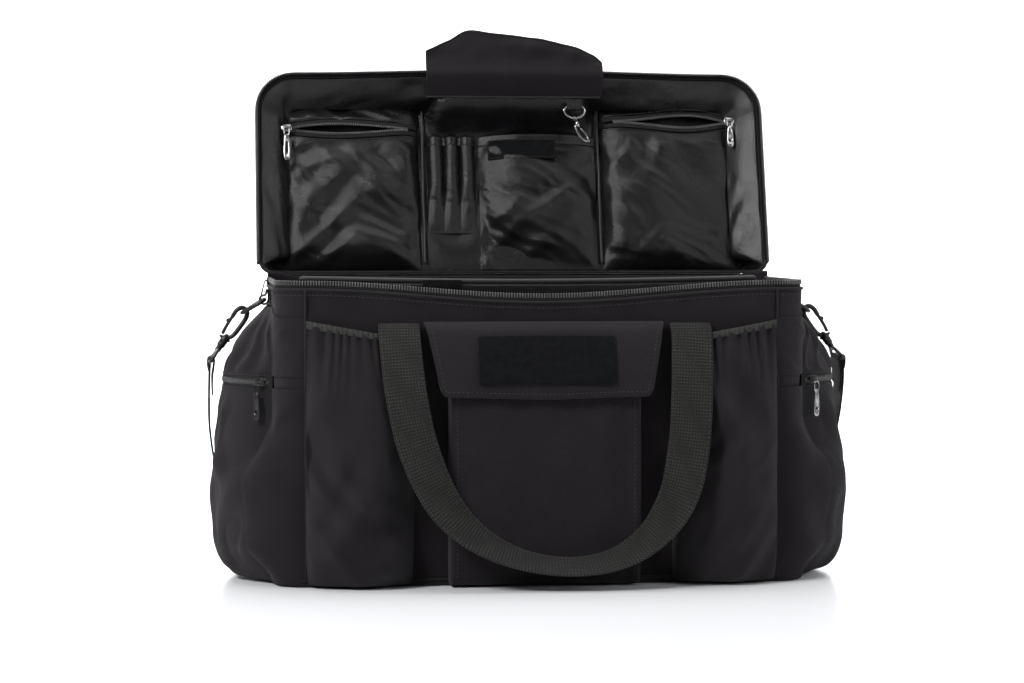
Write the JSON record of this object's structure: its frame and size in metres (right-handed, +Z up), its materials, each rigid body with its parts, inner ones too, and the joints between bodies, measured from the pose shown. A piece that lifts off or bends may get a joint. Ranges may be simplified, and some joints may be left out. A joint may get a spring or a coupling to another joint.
{
  "type": "flight bag",
  "caption": "Soft-sided flight bag standing open: zipped body with front and end pockets, carry handles, shoulder strap, and a hinged lid with an organiser inside.",
  "frame": {"origin": "centre of the underside, on the surface the bag stands on", "axes": "+X towards the right end seen from the front, -Y towards the front pockets, +Z up"},
  "size_m": [0.6042, 0.3761, 0.5191],
  "materials": {
    "twill": "matt woven polyester twill, near black with a slight purple-brown tint",
    "nylon": "glossy black coated nylon, crinkled",
    "webbing": "coarse woven webbing, dark grey",
    "loop": "loop side of a touch fastener, very dark and matt",
    "elastic": "ribbed elastic binding, dark grey",
    "zip": "black zip tape with moulded teeth",
    "board": "stiff plastic board",
    "black_metal": "black painted metal, satin",
    "nickel": "bright nickel plate"
  },
  "bodies": {
    "bag": {"front_panel": "twill", "back_panel": "twill", "left_gusset": "twill", "right_gusset": "twill", "bottom_panel": "twill", "hinge_tape": "twill", "left_elastic_pocket": "twill", "right_elastic_pocket": "twill", "centre_pocket": "twill", "left_end_pocket": "twill", "right_end_pocket": "twill", "left_end_pocket_top": "twill", "right_end_pocket_top": "twill", "divider_panel": "nylon", "left_ring_tab": "webbing", "right_ring_tab": "webbing", "shoulder_strap": "webbing", "left_elastic_binding": "elastic", "right_elastic_binding": "elastic", "body_zip_half": "zip", "left_end_zip": "zip", "right_end_zip": "zip", "base_board": "board"},
    "lid": {"lid_panel": "twill", "lid_gusset": "twill", "lid_zip_half": "zip", "lid_lining": "nylon", "left_zip_pocket": "nylon", "right_zip_pocket": "nylon", "pen_pocket": "nylon", "phone_pocket": "nylon", "key_tab": "webbing", "key_ring": "nickel"},
    "organiser_flap": {"organiser_flap": "twill"},
    "pocket_flap": {"centre_pocket_flap": "twill", "flap_loop_patch": "loop"},
    "front_handle": {"front_handle": "webbing"},
    "back_handle": {"back_handle": "webbing"},
    "key_hook": {"key_hook": "nickel"},
    "key_hook_gate": {"key_hook_gate": "nickel"},
    "left_end_slider": {"left_end_slider": "black_metal"},
    "left_end_pull": {"left_end_pull": "black_metal"},
    "left_main_slider": {"left_main_slider": "black_metal"},
    "left_main_pull": {"left_main_pull": "black_metal"},
    "left_pocket_slider": {"left_pocket_slider": "nickel"},
    "left_pocket_pull": {"left_pocket_pull": "nickel"},
    "left_ring_and_hook": {"left_ring": "black_metal", "left_hook": "black_metal"},
    "left_hook_gate": {"left_hook_gate": "black_metal"},
    "left_swivel": {"left_swivel": "black_metal"},
    "right_end_slider": {"right_end_slider": "black_metal"},
    "right_end_pull": {"right_end_pull": "black_metal"},
    "right_main_slider": {"right_main_slider": "black_metal"},
    "right_main_pull": {"right_main_pull": "black_metal"},
    "right_pocket_slider": {"right_pocket_slider": "nickel"},
    "right_pocket_pull": {"right_pocket_pull": "nickel"},
    "right_ring_and_hook": {"right_ring": "black_metal", "right_hook": "black_metal"},
    "right_hook_gate": {"right_hook_gate": "black_metal"},
    "right_swivel": {"right_swivel": "black_metal"}
  },
  "joints": [
    {"name": "lid_hinge", "type": "hinge", "parent": "bag", "child": "lid", "pos_m": [0, 0.108, 0.2775], "axis": [-1, 0, 0], "range_deg": [-106, 40]},
    {"name": "organiser_flap_hinge", "type": "hinge", "parent": "lid", "child": "organiser_flap", "pos_m": [0, 0.16821, 0.45373], "axis": [1, 0, 0], "range_deg": [0, 80]},
    {"name": "pocket_flap_hinge", "type": "hinge", "parent": "bag", "child": "pocket_flap", "pos_m": [0, -0.1096, 0.2375], "axis": [-1, 0, 0], "range_deg": [0, 105]},
    {"name": "front_handle_hinge", "type": "hinge", "parent": "bag", "child": "front_handle", "pos_m": [0, -0.1102, 0.2376], "axis": [1, 0, 0], "range_deg": [-105, 0]},
    {"name": "back_handle_hinge", "type": "hinge", "parent": "bag", "child": "back_handle", "pos_m": [0, 0.1102, 0.2375], "axis": [-1, 0, 0], "range_deg": [-110, 0]},
    {"name": "left_end_slider_run", "type": "hinge", "parent": "bag", "child": "left_end_slider", "pos_m": [-0.19357, 0, 0.184], "axis": [0, 0, -1], "range_deg": [0, 100]},
    {"name": "left_end_pull_hinge", "type": "hinge", "parent": "left_end_slider", "child": "left_end_pull", "pos_m": [-0.25916, -0.07816, 0.1815], "axis": [-0.766, 0.6428, 0], "range_deg": [0, 120]},
    {"name": "left_main_slider_run", "type": "slide", "parent": "bag", "child": "left_main_slider", "axis": [0, 1, 0], "range_m": [-0.045, 0]},
    {"name": "left_main_pull_hinge", "type": "hinge", "parent": "left_main_slider", "child": "left_main_pull", "pos_m": [-0.247, 0.076, 0.2724], "axis": [0, 1, 0], "range_deg": [0, 135]},
    {"name": "left_pocket_slider_run", "type": "slide", "parent": "lid", "child": "left_pocket_slider", "axis": [1, 0, 0], "range_m": [0, 0.112]},
    {"name": "left_pocket_pull_hinge", "type": "hinge", "parent": "left_pocket_slider", "child": "left_pocket_pull", "pos_m": [-0.222, 0.16791, 0.42365], "axis": [-1, 0, 0], "range_deg": [0, 140]},
    {"name": "left_ring_swing", "type": "hinge", "parent": "bag", "child": "left_ring_and_hook", "pos_m": [-0.2495, 0.01, 0.257], "axis": [0, 1, 0], "range_deg": [0, 70], "deforming": ["shoulder_strap"]},
    {"name": "left_gate_hinge", "type": "hinge", "parent": "left_ring_and_hook", "child": "left_hook_gate", "pos_m": [-0.28789, 0.01, 0.22632], "axis": [0, 1, 0], "range_deg": [0, 22], "stiffness_Nm_per_rad": 0.05},
    {"name": "left_swivel_turn", "type": "hinge", "parent": "left_ring_and_hook", "child": "left_swivel", "pos_m": [-0.2917, 0.01, 0.21183], "axis": [-0.5505, 0, -0.8348], "range_deg": [-30, 30]},
    {"name": "right_end_slider_run", "type": "hinge", "parent": "bag", "child": "right_end_slider", "pos_m": [0.19357, 0, 0.184], "axis": [0, 0, 1], "range_deg": [0, 100]},
    {"name": "right_end_pull_hinge", "type": "hinge", "parent": "right_end_slider", "child": "right_end_pull", "pos_m": [0.25916, -0.07816, 0.1815], "axis": [-0.766, -0.6428, 0], "range_deg": [0, 120]},
    {"name": "right_main_slider_run", "type": "slide", "parent": "bag", "child": "right_main_slider", "axis": [0, 1, 0], "range_m": [-0.045, 0]},
    {"name": "right_main_pull_hinge", "type": "hinge", "parent": "right_main_slider", "child": "right_main_pull", "pos_m": [0.247, 0.076, 0.2724], "axis": [0, -1, 0], "range_deg": [0, 135]},
    {"name": "right_pocket_slider_run", "type": "slide", "parent": "lid", "child": "right_pocket_slider", "axis": [-1, 0, 0], "range_m": [0, 0.112]},
    {"name": "right_pocket_pull_hinge", "type": "hinge", "parent": "right_pocket_slider", "child": "right_pocket_pull", "pos_m": [0.223, 0.17039, 0.4323], "axis": [-1, 0, 0], "range_deg": [0, 140]},
    {"name": "right_ring_swing", "type": "hinge", "parent": "bag", "child": "right_ring_and_hook", "pos_m": [0.2495, 0.01, 0.257], "axis": [0, -1, 0], "range_deg": [0, 70]},
    {"name": "right_gate_hinge", "type": "hinge", "parent": "right_ring_and_hook", "child": "right_hook_gate", "pos_m": [0.28789, 0.01, 0.22632], "axis": [0, -1, 0], "range_deg": [0, 22], "stiffness_Nm_per_rad": 0.05},
    {"name": "right_swivel_turn", "type": "hinge", "parent": "right_ring_and_hook", "child": "right_swivel", "pos_m": [0.2917, 0.01, 0.21183], "axis": [0.5505, 0, -0.8348], "range_deg": [-30, 30]},
    {"name": "key_hook_swing", "type": "hinge", "parent": "lid", "child": "key_hook", "pos_m": [0.064, 0.15618, 0.43211], "axis": [0, 0.9613, -0.2756], "range_deg": [0, 50]},
    {"name": "key_hook_gate_hinge", "type": "hinge", "parent": "key_hook", "child": "key_hook_gate", "pos_m": [0.06969, 0.15374, 0.4236], "axis": [0, 0.9613, -0.2756], "range_deg": [0, 20], "stiffness_Nm_per_rad": 0.01}
  ]
}
